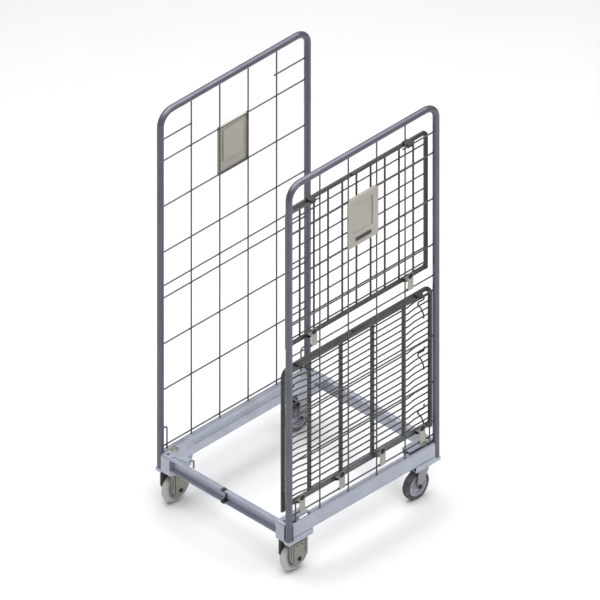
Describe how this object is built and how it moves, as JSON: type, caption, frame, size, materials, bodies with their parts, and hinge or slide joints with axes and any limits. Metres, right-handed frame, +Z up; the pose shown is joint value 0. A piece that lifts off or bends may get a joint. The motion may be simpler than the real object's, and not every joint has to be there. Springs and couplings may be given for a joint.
{
  "type": "roll cage container",
  "caption": "Wheeled steel roll cage with two wire side panels and a slatted deck and a mesh shelf that fold down between them.",
  "frame": {"origin": "on the floor under the middle of the cage", "axes": "+X from the left panel to the right panel that carries the deck and shelf, +Y from the fixed casters at the front to the swivel casters at the back, +Z up"},
  "size_m": [0.715, 0.8145, 1.813],
  "materials": {
    "zinc_sheet": "bright zinc-plated sheet",
    "zinc_tube": "zinc-plated tube",
    "zinc_wire": "zinc-plated wire",
    "dark_steel": "darkened zinc",
    "pressed_steel": "passivated pressed steel",
    "caster_zinc": "zinc-plated fork",
    "axle_steel": "dark bolt",
    "card_plate": "satin beige-grey",
    "black_plastic": "matt",
    "hub_nylon": "satin nylon",
    "pale_rubber": "matt non-marking rubber",
    "dark_rubber": "matt"
  },
  "bodies": {
    "base": {"left_panel_tube": "zinc_tube", "left_panel_wires": "zinc_wire", "left_card_holder": "card_plate", "left_card_strip": "black_plastic", "left_rail": "zinc_sheet", "front_left_bracket": "zinc_sheet", "rear_left_bracket": "zinc_sheet", "front_left_housing": "pressed_steel", "front_left_stem": "pressed_steel", "front_left_axle": "axle_steel", "rear_left_kingpin": "pressed_steel", "right_panel_tube": "zinc_tube", "right_panel_wires": "zinc_wire", "right_card_holder": "card_plate", "right_card_strip": "black_plastic", "right_rail": "zinc_sheet", "front_right_bracket": "zinc_sheet", "rear_right_bracket": "zinc_sheet", "front_right_housing": "pressed_steel", "front_right_stem": "pressed_steel", "front_right_axle": "axle_steel", "rear_right_kingpin": "pressed_steel", "front_crossbar": "zinc_sheet", "rear_crossbar": "zinc_sheet", "left_ledge": "zinc_sheet", "ledge_pin": "pressed_steel", "crossbar_clip": "black_plastic"},
    "front_left_wheel": {"front_left_tyre": "pale_rubber", "front_left_hub": "hub_nylon"},
    "rear_left_swivel": {"rear_left_fork": "caster_zinc", "rear_left_axle": "axle_steel"},
    "rear_left_wheel": {"rear_left_tyre": "dark_rubber", "rear_left_hub": "hub_nylon"},
    "front_right_wheel": {"front_right_tyre": "pale_rubber", "front_right_hub": "hub_nylon"},
    "rear_right_swivel": {"rear_right_fork": "caster_zinc", "rear_right_axle": "axle_steel"},
    "rear_right_wheel": {"rear_right_tyre": "dark_rubber", "rear_right_hub": "hub_nylon"},
    "deck": {"deck_frame": "dark_steel", "deck_grid": "dark_steel", "deck_hinge_clip_1": "pressed_steel", "deck_hinge_clip_2": "pressed_steel", "deck_hinge_clip_3": "pressed_steel", "deck_hinge_clip_4": "pressed_steel", "deck_front_catch": "black_plastic", "deck_rear_catch": "black_plastic", "deck_grip": "black_plastic", "deck_spring_1": "dark_steel", "deck_spring_2": "dark_steel", "deck_spring_3": "dark_steel"},
    "shelf": {"shelf_frame": "dark_steel", "shelf_grid": "dark_steel", "shelf_front_hinge_clip": "pressed_steel", "shelf_rear_hinge_clip": "pressed_steel", "shelf_front_catch": "black_plastic", "shelf_rear_catch": "black_plastic", "shelf_grip": "black_plastic"}
  },
  "joints": [
    {"name": "front_left_roll", "type": "hinge", "parent": "base", "child": "front_left_wheel", "pos_m": [-0.3175, -0.345, 0.0625], "axis": [1, 0, 0], "continuous": true},
    {"name": "rear_left_turn", "type": "hinge", "parent": "base", "child": "rear_left_swivel", "pos_m": [-0.3175, 0.347, 0.1], "axis": [0, 0, 1], "continuous": true},
    {"name": "rear_left_roll", "type": "hinge", "parent": "rear_left_swivel", "child": "rear_left_wheel", "pos_m": [-0.3175, 0.312, 0.0625], "axis": [1, 0, 0], "continuous": true},
    {"name": "front_right_roll", "type": "hinge", "parent": "base", "child": "front_right_wheel", "pos_m": [0.3175, -0.345, 0.0625], "axis": [1, 0, 0], "continuous": true},
    {"name": "rear_right_turn", "type": "hinge", "parent": "base", "child": "rear_right_swivel", "pos_m": [0.3175, 0.347, 0.1], "axis": [0, 0, 1], "continuous": true},
    {"name": "rear_right_roll", "type": "hinge", "parent": "rear_right_swivel", "child": "rear_right_wheel", "pos_m": [0.3175, 0.312, 0.0625], "axis": [1, 0, 0], "continuous": true},
    {"name": "deck_fold", "type": "hinge", "parent": "base", "child": "deck", "pos_m": [0.3395, 0, 0.269], "axis": [0, -1, 0], "range_deg": [0, 90]},
    {"name": "shelf_fold", "type": "hinge", "parent": "base", "child": "shelf", "pos_m": [0.3395, 0, 1.0078], "axis": [0, -1, 0], "range_deg": [0, 90]}
  ]
}
